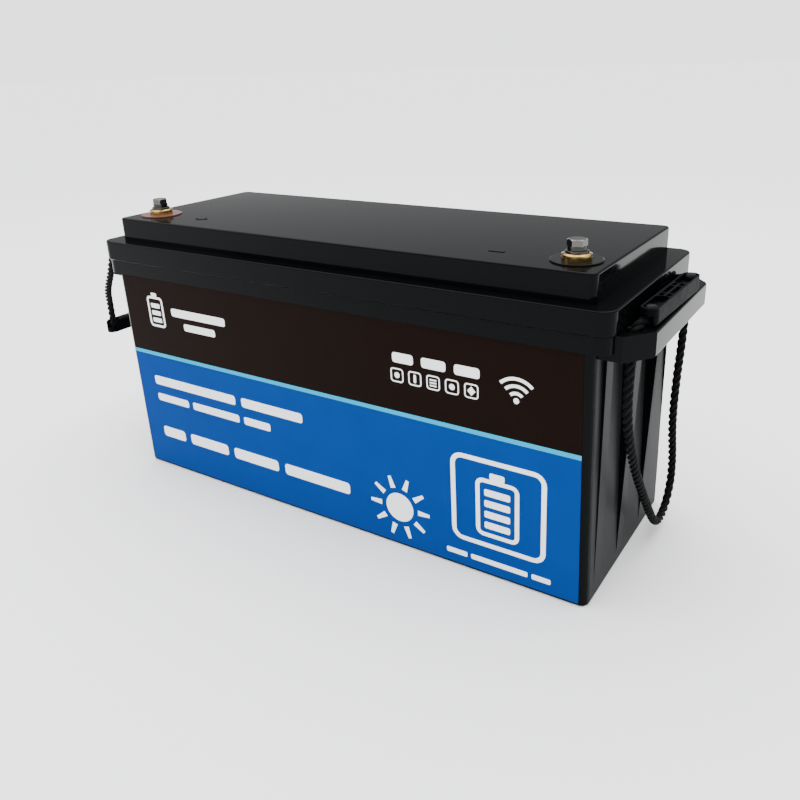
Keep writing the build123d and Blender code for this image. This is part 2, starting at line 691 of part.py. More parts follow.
with BuildPart() as bms_standoffs:
    with BuildSketch(Plane.YZ.offset(BOARD_FACE)):
        with Locations(*[(y, z) for y in (-46, 46) for z in (BMS_LOW + 10, BMS_HIGH - 10)]):
            Circle(3.0)
    extrude(amount=3.0)
save(bms_standoffs.part, "bms_standoffs")

BOARD_FRONT = BOARD_FACE + 4.6
with BuildPart() as bms_screws:
    with BuildSketch(Plane.YZ.offset(BOARD_FRONT)):
        with Locations(*[(y, z) for y in (-46, 46) for z in (BMS_LOW + 10, BMS_HIGH - 10)]):
            Circle(2.8)
    extrude(amount=2.0)
    fillet(bms_screws.edges().group_by(Axis.X)[-1], radius=0.8)
save(bms_screws.part, "bms_screws")

with BuildPart() as bms_parts:
    # two rows of power transistors, the shunt, and the balance chip
    with BuildSketch(Plane.YZ.offset(BOARD_FRONT)):
        with Locations(*[(-40 + 8.0 * k, z) for k in range(11) for z in (70, 92)]):
            Rectangle(5.6, 9.0)
        with Locations((-18, 118), (18, 118)):
            Rectangle(14.0, 6.0)
        with Locations((0, 140)):
            Rectangle(12.0, 12.0)
    extrude(amount=3.0)
save(bms_parts.part, "bms_parts")

with BuildPart() as wireless_module:
    with BuildSketch(Plane.YZ.offset(BOARD_FRONT)):
        with Locations((-32, 142)):
            RectangleRounded(16.0, 22.0, 1.0)
    extrude(amount=4.0)
save(wireless_module.part, "wireless_module")

with BuildPart() as bms_posts:
    with BuildSketch(Plane.YZ.offset(BOARD_FRONT)):
        with Locations((-30, 36), (30, 36)):
            Rectangle(18.0, 18.0)
    extrude(amount=3.0)
save(bms_posts.part, "bms_posts")

with BuildPart() as loom_plug:
    with BuildSketch(Plane.YZ.offset(BOARD_FRONT)):
        with Locations((30, 144)):
            Rectangle(20.0, 12.0)
    extrude(amount=9.0)
save(loom_plug.part, "loom_plug")

# ---------------------------------------------------------------- power leads and harness
LEAD_D = 8.0
LUG_BARREL_D = 10.0
LUG_BARREL = 12.0
LUG_WIDTH = 16.0
LUG_AXIS_HEIGHT = 208.5
BMS_POST_Z = 36.0
BMS_POST_Y = 30.0
BMS_POST_FACE = BOARD_FRONT + 3.0
BMS_LUG_X = BMS_POST_FACE + 5.3
CELL_LUG_END = NEGATIVE_POST[0] + 22.0
OUTPUT_LUG_END = TERMINAL_Y + 20.5
BMS_LUG_END = 60.0

BATTERY_LEAD_ROUTE = [
    (CELL_LUG_END, -POST_Y, LUG_AXIS_HEIGHT),
    (153.0, -46.0, 208.0),
    (173.0, -40.0, 196.0),
    (182.0, -33.0, 168.0),
    (180.0, -30.5, 128.0),
    (BMS_LUG_X + 0.5, -30.0, 92.0),
    (BMS_LUG_X, -BMS_POST_Y, BMS_LUG_END),
]
OUTPUT_LEAD_ROUTE = [
    (TERMINAL_X, OUTPUT_LUG_END, LUG_AXIS_HEIGHT),
    (TERMINAL_X, -6.0, 207.5),
    (190.0, 18.0, 196.0),
    (188.0, 34.0, 168.0),
    (181.0, 34.0, 128.0),
    (BMS_LUG_X + 0.5, 30.5, 92.0),
    (BMS_LUG_X, BMS_POST_Y, BMS_LUG_END),
]
save(cord_solid(BATTERY_LEAD_ROUTE, LEAD_D, "battery_lead"), "battery_lead")
save(cord_solid(OUTPUT_LEAD_ROUTE, LEAD_D, "output_lead"), "output_lead")

with BuildPart() as cable_lugs:
    # flat on the last cell's post, and flat under the negative insert
    with BuildSketch(Plane.XY.offset(POST_TOP)):
        with Locations((NEGATIVE_POST[0] + 6.0, -POST_Y)):
            SlotOverall(LUG_WIDTH + 12.0, LUG_WIDTH)
        with Locations(NEGATIVE_POST):
            Circle(3.2, mode=Mode.SUBTRACT)
    extrude(amount=LUG)
    with BuildSketch(Plane.XY.offset(INSERT_BOTTOM - LUG)):
        with Locations((TERMINAL_X, TERMINAL_Y + 6.0)):
            SlotOverall(LUG_WIDTH + 12.0, LUG_WIDTH, rotation=90)
        with Locations((TERMINAL_X, TERMINAL_Y)):
            Circle(THREAD_D / 2 + 0.1, mode=Mode.SUBTRACT)
    extrude(amount=LUG)
    # upright on the two posts of the control board
    with BuildSketch(Plane.YZ.offset(BMS_POST_FACE)):
        for side in (-1, 1):
            with Locations((side * BMS_POST_Y, BMS_POST_Z + 6.0)):
                SlotOverall(LUG_WIDTH + 12.0, LUG_WIDTH, rotation=90)
            with Locations((side * BMS_POST_Y, BMS_POST_Z)):
                Circle(3.2, mode=Mode.SUBTRACT)
    extrude(amount=LUG)
    # crimped barrels, each ending where its lead starts
    with BuildSketch(Plane.YZ.offset(CELL_LUG_END - LUG_BARREL)):
        with Locations((-POST_Y, LUG_AXIS_HEIGHT)):
            Circle(LUG_BARREL_D / 2)
    extrude(amount=LUG_BARREL - 0.05)
    with BuildSketch(Plane.XZ.offset(-OUTPUT_LUG_END + 0.05)):
        with Locations((TERMINAL_X, LUG_AXIS_HEIGHT)):
            Circle(LUG_BARREL_D / 2)
    extrude(amount=LUG_BARREL - 0.05)
    with BuildSketch(Plane.XY.offset(BMS_LUG_END - LUG_BARREL)):
        with Locations((BMS_LUG_X, -BMS_POST_Y), (BMS_LUG_X, BMS_POST_Y)):
            Circle(LUG_BARREL_D / 2)
    extrude(amount=LUG_BARREL - 0.05)
save(cable_lugs.part, "cable_lugs")

with BuildPart() as lug_screws:
    with BuildSketch(Plane.YZ.offset(BMS_POST_FACE + LUG)):
        with Locations((-BMS_POST_Y, BMS_POST_Z), (BMS_POST_Y, BMS_POST_Z)):
            Circle(5.2)
    extrude(amount=3.6)
    with BuildSketch(Plane.YZ.offset(BMS_POST_FACE + LUG + 1.4)):
        with Locations((-BMS_POST_Y, BMS_POST_Z), (BMS_POST_Y, BMS_POST_Z)):
            RegularPolygon(2.5, 6)
    extrude(amount=4.0, mode=Mode.SUBTRACT)
save(lug_screws.part, "lug_screws")

LOOM_D = 5.0
LOOM_Y = 22.0
LOOM_HEIGHT = CELL_TOP + 0.6 + LOOM_D / 2
LOOM_ROUTE = [
    (CELL_XS[0] + 2.0, LOOM_Y, LOOM_HEIGHT),
    (-105.0, 21.4, LOOM_HEIGHT),
    (-54.0, 22.3, LOOM_HEIGHT),
    (-2.0, 21.6, LOOM_HEIGHT),
    (50.0, 22.4, LOOM_HEIGHT),
    (96.0, 22.0, LOOM_HEIGHT),
    (134.0, 24.0, LOOM_HEIGHT - 0.2),
    (159.0, 27.0, 196.0),
    (170.5, 29.5, 178.0),
    (171.8, 30.0, 150.1),
]
save(cord_solid(LOOM_ROUTE, LOOM_D, "sense_loom"), "sense_loom")

WIRE_D = 1.8
with BuildPart() as sense_wires:
    for x in CELL_XS:
        wire = cord_solid(
            [
                (x + 9.0, LOOM_Y + 3.8, LOOM_HEIGHT - 1.0),
                (x + 7.5, LOOM_Y + 10.0, LOOM_HEIGHT + 3.5),
                (x + 5.5, POST_Y - 8.5, BAR_TOP + 2.4),
            ],
            WIRE_D,
            "sense_wire",
        )
        add(wire)
save(sense_wires.part, "sense_wires")

with BuildPart() as base_pad:
    with BuildSketch(Plane.XY.offset(FLOOR)):
        with Locations((PACK_MIDDLE, 0)):
            RectangleRounded(PACK_END - PACK_START, 146.0, 3.0)
    extrude(amount=CELL_BOTTOM - FLOOR)
save(base_pad.part, "base_pad")

with BuildPart() as side_pads:
    for side in (-1, 1):
        with BuildSketch(Plane.XY.offset(CELL_BOTTOM)):
            with Locations((PACK_MIDDLE, side * 70.4)):
                Rectangle(300.0, 8.6)
        extrude(amount=180.0)
save(side_pads.part, "side_pads")

SHEET_BOTTOM = BAR_TOP + 8.2
with BuildPart() as insulation_sheet:
    with BuildSketch(Plane.XY.offset(SHEET_BOTTOM)):
        with Locations((PACK_MIDDLE + 4.0, 0)):
            RectangleRounded(PACK_END - PACK_START - 34.0, 124.0, 4.0)
    extrude(amount=0.8)
save(insulation_sheet.part, "insulation_sheet")

with BuildPart() as top_pads:
    with BuildSketch(Plane.XY.offset(SHEET_BOTTOM + 0.8)):
        with Locations(*[(PACK_MIDDLE + 4.0 + dx, dy) for dx in (-110, 0, 110) for dy in (-40, 40)]):
            RectangleRounded(60.0, 30.0, 3.0)
    extrude(amount=DECK - LID_WALL - SHEET_BOTTOM - 0.9)
save(top_pads.part, "top_pads")
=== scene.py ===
"""Looks of a deep cycle battery: glossy moulded case, printed label, brass terminals and rope handles."""
import json
import math

import bmesh
import bpy
from mathutils import Matrix, Vector
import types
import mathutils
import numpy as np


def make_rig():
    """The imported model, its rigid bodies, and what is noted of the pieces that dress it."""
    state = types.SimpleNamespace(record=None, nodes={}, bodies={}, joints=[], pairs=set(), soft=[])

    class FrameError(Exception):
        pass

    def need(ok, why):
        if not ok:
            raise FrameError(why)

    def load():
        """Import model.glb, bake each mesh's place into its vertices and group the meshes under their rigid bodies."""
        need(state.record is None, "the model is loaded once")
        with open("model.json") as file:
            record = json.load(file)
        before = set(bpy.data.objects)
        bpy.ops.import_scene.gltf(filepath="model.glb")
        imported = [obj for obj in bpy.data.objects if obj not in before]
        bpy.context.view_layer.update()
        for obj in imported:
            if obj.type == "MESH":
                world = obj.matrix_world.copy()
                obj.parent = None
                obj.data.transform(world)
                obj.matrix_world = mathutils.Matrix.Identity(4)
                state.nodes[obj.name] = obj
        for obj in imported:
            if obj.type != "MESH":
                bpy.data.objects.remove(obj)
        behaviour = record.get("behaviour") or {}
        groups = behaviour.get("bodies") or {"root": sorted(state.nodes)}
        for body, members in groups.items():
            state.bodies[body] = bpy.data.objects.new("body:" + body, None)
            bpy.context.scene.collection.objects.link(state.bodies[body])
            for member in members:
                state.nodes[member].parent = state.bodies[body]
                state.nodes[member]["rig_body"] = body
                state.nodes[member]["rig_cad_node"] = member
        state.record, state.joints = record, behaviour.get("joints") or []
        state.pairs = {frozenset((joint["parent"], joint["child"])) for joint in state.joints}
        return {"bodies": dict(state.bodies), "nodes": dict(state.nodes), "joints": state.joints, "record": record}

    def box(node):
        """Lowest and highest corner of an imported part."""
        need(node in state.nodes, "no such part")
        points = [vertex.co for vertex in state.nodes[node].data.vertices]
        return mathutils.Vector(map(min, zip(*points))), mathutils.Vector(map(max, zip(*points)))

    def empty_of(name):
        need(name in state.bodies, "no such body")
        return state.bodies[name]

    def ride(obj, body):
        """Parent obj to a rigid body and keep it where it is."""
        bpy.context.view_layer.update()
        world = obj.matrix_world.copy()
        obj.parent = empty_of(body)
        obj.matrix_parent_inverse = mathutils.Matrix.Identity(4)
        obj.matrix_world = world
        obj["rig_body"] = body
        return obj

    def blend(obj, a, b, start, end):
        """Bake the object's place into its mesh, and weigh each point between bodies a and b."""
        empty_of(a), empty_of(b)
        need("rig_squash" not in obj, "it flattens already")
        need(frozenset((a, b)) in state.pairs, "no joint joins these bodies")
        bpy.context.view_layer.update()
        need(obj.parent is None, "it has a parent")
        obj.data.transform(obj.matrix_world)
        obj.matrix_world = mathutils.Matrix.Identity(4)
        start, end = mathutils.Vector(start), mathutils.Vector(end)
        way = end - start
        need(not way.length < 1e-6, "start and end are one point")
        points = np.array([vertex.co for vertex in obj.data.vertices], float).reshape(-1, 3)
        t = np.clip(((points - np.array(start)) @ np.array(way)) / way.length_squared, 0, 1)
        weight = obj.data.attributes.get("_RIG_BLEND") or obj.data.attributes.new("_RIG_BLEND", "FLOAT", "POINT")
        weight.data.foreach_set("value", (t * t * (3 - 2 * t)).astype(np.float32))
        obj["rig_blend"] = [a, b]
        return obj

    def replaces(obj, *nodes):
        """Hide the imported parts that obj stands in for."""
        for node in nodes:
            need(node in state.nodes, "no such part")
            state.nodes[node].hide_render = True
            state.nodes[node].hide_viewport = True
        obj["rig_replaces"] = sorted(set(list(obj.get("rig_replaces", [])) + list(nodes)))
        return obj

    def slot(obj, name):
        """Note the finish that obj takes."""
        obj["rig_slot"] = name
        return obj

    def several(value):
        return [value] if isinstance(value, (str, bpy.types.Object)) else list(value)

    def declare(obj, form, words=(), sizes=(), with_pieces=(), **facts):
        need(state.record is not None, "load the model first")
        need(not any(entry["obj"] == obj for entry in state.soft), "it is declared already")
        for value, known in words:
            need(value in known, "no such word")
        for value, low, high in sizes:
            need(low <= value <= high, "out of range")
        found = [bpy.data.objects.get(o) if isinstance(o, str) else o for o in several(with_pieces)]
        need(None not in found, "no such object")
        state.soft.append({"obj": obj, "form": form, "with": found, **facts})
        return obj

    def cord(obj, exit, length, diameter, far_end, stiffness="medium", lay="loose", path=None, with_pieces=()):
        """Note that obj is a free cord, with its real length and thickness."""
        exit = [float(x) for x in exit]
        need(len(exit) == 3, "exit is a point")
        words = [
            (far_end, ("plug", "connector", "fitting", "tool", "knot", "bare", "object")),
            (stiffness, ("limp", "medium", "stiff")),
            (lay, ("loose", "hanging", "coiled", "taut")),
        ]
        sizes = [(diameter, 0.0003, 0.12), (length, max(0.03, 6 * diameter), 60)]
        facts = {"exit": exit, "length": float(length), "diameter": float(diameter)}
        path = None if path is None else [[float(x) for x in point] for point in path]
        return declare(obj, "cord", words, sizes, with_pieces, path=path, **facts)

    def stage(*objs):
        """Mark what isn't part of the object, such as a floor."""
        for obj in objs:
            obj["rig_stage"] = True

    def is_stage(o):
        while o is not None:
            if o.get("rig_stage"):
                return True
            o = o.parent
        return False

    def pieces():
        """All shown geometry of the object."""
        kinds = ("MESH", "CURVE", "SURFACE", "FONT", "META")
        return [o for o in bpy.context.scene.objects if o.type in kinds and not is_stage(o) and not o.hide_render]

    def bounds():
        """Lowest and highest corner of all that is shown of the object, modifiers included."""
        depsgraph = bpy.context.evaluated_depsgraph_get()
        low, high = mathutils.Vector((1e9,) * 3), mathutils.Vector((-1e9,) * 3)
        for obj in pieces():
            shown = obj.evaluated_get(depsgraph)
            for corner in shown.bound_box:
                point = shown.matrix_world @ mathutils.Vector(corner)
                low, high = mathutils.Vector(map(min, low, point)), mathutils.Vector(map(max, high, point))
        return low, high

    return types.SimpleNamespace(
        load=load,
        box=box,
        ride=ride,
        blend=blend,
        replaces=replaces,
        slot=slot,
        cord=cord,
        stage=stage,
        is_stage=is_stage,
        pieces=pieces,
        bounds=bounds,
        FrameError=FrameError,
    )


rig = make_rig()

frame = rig.load()
cad_low, cad_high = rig.bounds()
scene = bpy.context.scene

MM = 0.001


# ---------------------------------------------------------------- helpers
def link(obj):
    scene.collection.objects.link(obj)
    return obj


def mesh_object(name, bm, smooth=False):
    """Turns a finished bmesh into a linked object."""
    bmesh.ops.recalc_face_normals(bm, faces=bm.faces)
    mesh = bpy.data.meshes.new(name)
    bm.to_mesh(mesh)
    bm.free()
    for polygon in mesh.polygons:
        polygon.use_smooth = smooth
    return link(bpy.data.objects.new(name, mesh))


def metres(points):
    return [Vector(p) * MM for p in points]


# ---------------------------------------------------------------- camera
# The camera that took the photograph, as fitted to the case's edges. Places are metres, turns are
# radians, the lens and the sensor are millimetres, and the shifts are parts of the sensor's width.
CAMERA_PLACE = (0.3569, -0.4863, 0.3439)
CAMERA_YAW = -0.5716
CAMERA_PITCH = -0.3576
CAMERA_ROLL = -0.0313
SENSOR_WIDTH = 36.0
FOCAL_LENGTH = 34.795
SHIFT_ACROSS = -0.03125
SHIFT_UP = -0.0625
NEAREST_SEEN = 0.01


def make_camera():
    """Looks along a yaw and a pitch, then rolls about that line."""
    level_reach = math.cos(CAMERA_PITCH)
    forward = Vector((math.sin(CAMERA_YAW) * level_reach, math.cos(CAMERA_YAW) * level_reach,
                      math.sin(CAMERA_PITCH)))
    level = forward.cross(Vector((0, 0, 1))).normalized()
    upright = level.cross(forward)
    right = level * math.cos(CAMERA_ROLL) + upright * math.sin(CAMERA_ROLL)
    up = upright * math.cos(CAMERA_ROLL) - level * math.sin(CAMERA_ROLL)
    data = bpy.data.cameras.new("camera")
    data.sensor_width = SENSOR_WIDTH
    data.lens = FOCAL_LENGTH
    data.shift_x = SHIFT_ACROSS
    data.shift_y = SHIFT_UP
    data.clip_start = NEAREST_SEEN
    camera = link(bpy.data.objects.new("camera", data))
    turn = Matrix((right, up, -forward)).transposed().to_4x4()
    camera.matrix_world = Matrix.Translation(CAMERA_PLACE) @ turn
    scene.camera = camera


# ---------------------------------------------------------------- ropes
ROPE_D = 7.0 * MM
STRANDS = 3
STRAND_RADIUS = 1.58 * MM
STRAND_OFFSET = 1.70 * MM
LAY_LENGTH = 17.0 * MM
RING_SPACING = 0.55 * MM
STRAND_SIDES = 10
# a strand is pressed a little flat against its neighbours
STRAND_DEPTH = 0.95
STRAND_BREADTH = 1.06

# Control points in millimetres. The right route is that of part.py. The left one joins part.py's
# loop and legs into one rope, with the points above the shelf drawn in towards it.
RIGHT_ROPE_ROUTE = [
    (234.9, -46.7, 196.75),
    (228.6, -61.0, 197.15),
    (228.6, -61.2, 172.0),
    (228.7, -62.6, 134.0),
    (229.2, -42.0, 93.0),
    (229.6, -4.0, 44.0),
    (229.8, 22.0, 13.0),
    (229.8, 44.0, 10.6),
    (229.7, 59.6, 25.8),
    (229.5, 61.0, 49.0),
    (229.2, 50.0, 84.0),
    (229.0, 51.5, 118.0),
    (228.6, 61.2, 150.0),
    (228.6, 60.9, 176.0),
    (228.6, 61.0, 197.15),
    (232.8, 44.6, 196.95),
    (236.9, 29.2, 196.75),
]

LEFT_ROPE_ROUTE = [
    (-294.6, -40.0, 106.7),
    (-294.6, -40.0, 129.0),
    (-279.0, -51.0, 149.0),
    (-258.5, -58.4, 170.0),
    (-250.0, -60.2, 186.0),
    (-244.6, -60.8, 197.4),
    (-236.5, -61.0, 200.0),
    (-231.0, -61.0, 197.4),
    (-228.6, -61.0, 190.2),
    (-228.6, -60.9, 172.0),
    (-228.9, -60.2, 157.0),
    (-229.4, -43.0, 131.0),
    (-229.8, -14.0, 118.5),
    (-229.8, 18.0, 120.0),
    (-229.4, 46.0, 134.0),
    (-228.9, 60.6, 158.0),
    (-228.6, 60.9, 172.0),
    (-228.6, 61.0, 190.2),
    (-231.0, 61.0, 197.4),
    (-236.5, 61.0, 200.0),
    (-244.6, 60.8, 197.4),
    (-250.0, 60.2, 186.0),
    (-258.5, 58.4, 170.0),
    (-279.0, 51.0, 149.0),
    (-294.6, 40.0, 129.0),
    (-294.6, 40.0, 106.7),
]


def centreline(points):
    """Closely spaced points along the smooth curve that a route pulls."""
    curve = bpy.data.curves.new("route", "CURVE")
    curve.dimensions = "3D"
    spline = curve.splines.new("NURBS")
    spline.points.add(len(points) - 1)
    for spot, co in zip(spline.points, metres(points)):
        spot.co = (*co, 1.0)
    spline.order_u = 3
    spline.use_endpoint_u = True
    spline.resolution_u = 32
    holder = bpy.data.objects.new("route", curve)
    mesh = bpy.data.meshes.new_from_object(holder)
    path = [v.co.copy() for v in mesh.vertices]
    bpy.data.objects.remove(holder)
    bpy.data.curves.remove(curve)
    bpy.data.meshes.remove(mesh)
    return path


def evenly(path, step):
    """The same line again, at equal steps along its length, and that length."""
    lengths = [0.0]
    for a, b in zip(path, path[1:]):
        lengths.append(lengths[-1] + (b - a).length)
    count = max(2, round(lengths[-1] / step))
    out = []
    i = 0
    for k in range(count + 1):
        s = lengths[-1] * k / count
        while i < len(path) - 2 and lengths[i + 1] < s:
            i += 1
        span = lengths[i + 1] - lengths[i]
        out.append(path[i].lerp(path[i + 1], (s - lengths[i]) / span if span else 0.0))
    return out, lengths[-1]


def frames_along(path):
    """A direction and two sideways axes at each point, carried along without twisting."""
    side = None
    for i, p in enumerate(path):
        ahead = path[min(i + 1, len(path) - 1)] - path[max(i - 1, 0)]
        ahead.normalize()
        if side is None:
            side = ahead.orthogonal().normalized()
        side = (side - ahead * side.dot(ahead)).normalized()
        yield p, ahead, side, ahead.cross(side)


def rope(name, route):
    """A rope of three strands laid round each other, with its yarns left to the material."""
    path, length = evenly(centreline(route), RING_SPACING)
    stations = list(frames_along(path))
    bm = bmesh.new()
    uv = bm.loops.layers.uv.new("lay")
    for strand in range(STRANDS):
        rings = []
        for i, (p, ahead, u, v) in enumerate(stations):
            turn = 2 * math.pi * (strand / STRANDS + i * RING_SPACING / LAY_LENGTH)
            out = u * math.cos(turn) + v * math.sin(turn)
            across = ahead.cross(out)
            centre = p + out * STRAND_OFFSET
            ring = []
            for k in range(STRAND_SIDES):
                a = 2 * math.pi * k / STRAND_SIDES
                point = out * math.cos(a) * STRAND_DEPTH + across * math.sin(a) * STRAND_BREADTH
                ring.append(bm.verts.new(centre + point * STRAND_RADIUS))
            rings.append(ring)
        for i, (one, two) in enumerate(zip(rings, rings[1:])):
            for k in range(STRAND_SIDES):
                n = (k + 1) % STRAND_SIDES
                face = bm.faces.new((one[k], one[n], two[n], two[k]))
                corners = ((i, k), (i, k + 1), (i + 1, k + 1), (i + 1, k))
                for loop, (along, around) in zip(face.loops, corners):
                    loop[uv].uv = (along * RING_SPACING / LAY_LENGTH, around / STRAND_SIDES)
        bm.faces.new(rings[0])
        bm.faces.new(rings[-1])
    return mesh_object(name, bm, smooth=True), path, length


def make_ropes():
    right, path, length = rope("right_rope_laid", RIGHT_ROPE_ROUTE)
    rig.replaces(right, "right_rope")
    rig.slot(right, "rope_fibre")
    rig.cord(right, exit=path[0], length=length, diameter=ROPE_D, far_end="object",
            stiffness="limp", lay="hanging", path=path)
    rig.ride(right, "right_handle")
    left, path, length = rope("left_rope_laid", LEFT_ROPE_ROUTE)
    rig.replaces(left, "left_rope_loop", "left_rope_legs")
    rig.slot(left, "rope_fibre")
    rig.cord(left, exit=path[0], length=length, diameter=ROPE_D, far_end="object",
            stiffness="limp", lay="hanging", path=path)
    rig.blend(left, "case", "left_handle", start=(-0.2325, 0, 0.2), end=(-0.2425, 0, 0.2))
    return right, left


# ---------------------------------------------------------------- label print
# Millimetres on the leaning front wall, whose lean and height are those of part.py.
WALL_LEAN = 3.4
WALL_HEIGHT = 181.7
# how far each side of the label comes in from its foot to its top
LABEL_TAPER = 2.5
# how far the two printed fields stop short of the film's edges
FIELD_INSET = 0.02
# how deep the back of each print is sunk, and how far its face stands out from the film
INTO_FILM = 0.05
BLUE_PROUD = 0.03
STRIPE_PROUD = 0.05
MARKS_PROUD = 0.09
STRIPE_TOP = 113.9
STRIPE_HEIGHT = 3.4
# how far the blue field runs on under the stripe
UNDER_STRIPE = 0.2
# corner radius of a bar, as a part of its height
BAR_ROUNDING = 0.28
ICON_LEFT = 68.0
ICON_BOTTOM = 136.4
ICON_SIZE = 10.6
ICON_PITCH = 14.6
label_low, label_high = (corner / MM for corner in map(Vector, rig.box("front_label")))


def on_label(x, z, proud):
    """A point on the label's leaning face, or a little in front of it or behind it, in metres."""
    y = label_low.y + WALL_LEAN / WALL_HEIGHT * (label_high.z - z) - proud
    return Vector((x, y, z)) * MM


def print_area(bm, outline, proud=MARKS_PROUD, inner=None):
    """A thin raised area: a convex outline, or the band between two matching outlines."""
    front = [bm.verts.new(on_label(x, z, proud)) for x, z in outline]
    back = [bm.verts.new(on_label(x, z, -INTO_FILM)) for x, z in outline]
    count = len(outline)
    if inner is None:
        bm.faces.new(front)
        bm.faces.new(back)
    else:
        hole = [bm.verts.new(on_label(x, z, proud)) for x, z in inner]
        floor = [bm.verts.new(on_label(x, z, -INTO_FILM)) for x, z in inner]
    for k in range(count):
        n = (k + 1) % count
        bm.faces.new((front[k], front[n], back[n], back[k]))
        if inner is not None:
            bm.faces.new((front[k], front[n], hole[n], hole[k]))
            bm.faces.new((back[k], back[n], floor[n], floor[k]))
            bm.faces.new((hole[k], hole[n], floor[n], floor[k]))


def rounded(x, z, width, height, radius, steps=5):
    """A rounded rectangle's outline from its lower left corner."""
    points = []
    for cx, cz, start in (
        (x + width - radius, z + radius, -90),
        (x + width - radius, z + height - radius, 0),
        (x + radius, z + height - radius, 90),
        (x + radius, z + radius, 180),
    ):
        for k in range(steps + 1):
            a = math.radians(start + 90 * k / steps)
            points.append((cx + radius * math.cos(a), cz + radius * math.sin(a)))
    return points


def circle(x, z, radius, steps=32):
    turn = 2 * math.pi / steps
    return [(x + radius * math.cos(k * turn), z + radius * math.sin(k * turn)) for k in range(steps)]


def bars(bm, x, z, height, widths, gap):
    """A row of plain bars where the label has a line of words."""
    for width in widths:
        print_area(bm, rounded(x, z, width, height, height * BAR_ROUNDING))
        x += width + gap


def outline_box(bm, x, z, width, height, line, radius):
    """A rounded frame whose lines are all one width."""
    inner_radius = max(radius - line, 0.2)
    inside = rounded(x + line, z + line, width - 2 * line, height - 2 * line, inner_radius)
    print_area(bm, rounded(x, z, width, height, radius), inner=inside)


def arc_band(bm, x, z, radius, line, start, end, steps=14):
    """Part of a ring, as a fan of short blocks that share their ends."""
    for k in range(steps):
        a = math.radians(start + (end - start) * k / steps)
        b = math.radians(start + (end - start) * (k + 1) / steps)
        corners = [
            (x + r * math.cos(t), z + r * math.sin(t))
            for r, t in ((radius, a), (radius + line, a), (radius + line, b), (radius, b))
        ]
        print_area(bm, corners)


def battery_symbol(bm, x, z, width, height, line, levels):
    """A plain charge symbol: an outlined cell with a cap and level bars."""
    outline_box(bm, x, z, width, height, line, line * 1.8)
    print_area(bm, rounded(x + width * 0.33, z + height, width * 0.34, line * 1.6, line * 0.4))
    inset = 2.1 * line
    pitch = (height - 2 * line) / (levels + 0.6)
    for k in range(levels):
        bar = rounded(x + inset, z + inset + k * pitch, width - 2 * inset, pitch * 0.62, line * 0.4)
        print_area(bm, bar)


def sun_symbol(bm, x, z, radius, rays=10):
    """A disc with short rays that narrow outwards."""
    print_area(bm, circle(x, z, radius * 0.46))
    for k in range(rays):
        a = 2 * math.pi * k / rays
        ahead = (math.cos(a), math.sin(a))
        across = (-ahead[1], ahead[0])
        ray = []
        for along, half in ((0.62, 0.085), (1.0, 0.05), (1.0, -0.05), (0.62, -0.085)):
            ray.append((x + radius * (ahead[0] * along + across[0] * half),
                        z + radius * (ahead[1] * along + across[1] * half)))
        print_area(bm, ray)


def icon_row(bm):
    """Five small framed icons: a dot, an upright bar, three lines, a dot and a diamond."""
    for k, sign in enumerate(("dot", "bar", "lines", "dot", "diamond")):
        left = ICON_LEFT + ICON_PITCH * k
        x = left + ICON_SIZE / 2
        z = ICON_BOTTOM + ICON_SIZE / 2
        outline_box(bm, left, ICON_BOTTOM, ICON_SIZE, ICON_SIZE, 1.0, 2.4)
        if sign == "dot":
            print_area(bm, circle(x, z, 2.2, 20))
        elif sign == "bar":
            print_area(bm, rounded(x - 1.0, z - 3.1, 2.0, 6.2, 0.9))
        elif sign == "lines":
            for j in range(3):
                print_area(bm, rounded(x - 2.7, z - 2.8 + 2.1 * j, 5.4, 1.1, 0.4))
        else:
            print_area(bm, [(x, z - 3.3), (x + 3.1, z), (x, z + 3.3), (x - 3.1, z)])


def upper_marks(bm):
    """Marks on the dark field: a charge symbol, bars, the icons and the wireless arcs."""
    battery_symbol(bm, -181.0, 138.5, 19.0, 27.0, 2.0, 3)
    bars(bm, -152.5, 151.0, 7.0, (62.0,), 4.0)
    bars(bm, -139.5, 140.0, 6.2, (36.0,), 4.0)
    icon_row(bm)
    bars(bm, 70.0, 151.2, 7.4, (17.0, 19.0, 19.0), 6.5)
    for k in range(3):
        arc_band(bm, 164.0, 141.0, 4.6 + 5.0 * k, 2.3, 45, 135)
    print_area(bm, circle(164.0, 141.6, 2.0, 20))


def lower_marks(bm):
    """Marks on the blue field: lines of bars, a sun and a framed charge symbol."""
    bars(bm, -189.0, 82.5, 8.4, (98.0, 65.0), 7.0)
    bars(bm, -188.5, 66.8, 7.0, (39.0, 55.0, 29.0), 5.5)
    bars(bm, -189.0, 31.0, 10.0, (28.0, 46.0, 50.0, 66.0), 7.3)
    sun_symbol(bm, 69.0, 34.0, 26.0)
    outline_box(bm, 114.0, 24.0, 72.0, 70.0, 3.6, 9.0)
    battery_symbol(bm, 133.5, 33.0, 33.0, 46.0, 3.2, 4)
    bars(bm, 109.0, 10.0, 4.2, (17.0, 44.0, 14.0), 3.0)


def label_field(name, bottom, top, proud):
    """A printed field that fills the label's width between two heights."""
    taper = LABEL_TAPER / (label_high.z - label_low.z)
    wide = abs(label_low.x) - taper * (bottom - label_low.z) - FIELD_INSET
    narrow = abs(label_low.x) - taper * (top - label_low.z) - FIELD_INSET
    bm = bmesh.new()
    print_area(bm, [(-wide, bottom), (wide, bottom), (narrow, top), (-narrow, top)], proud)
    return mesh_object(name, bm)


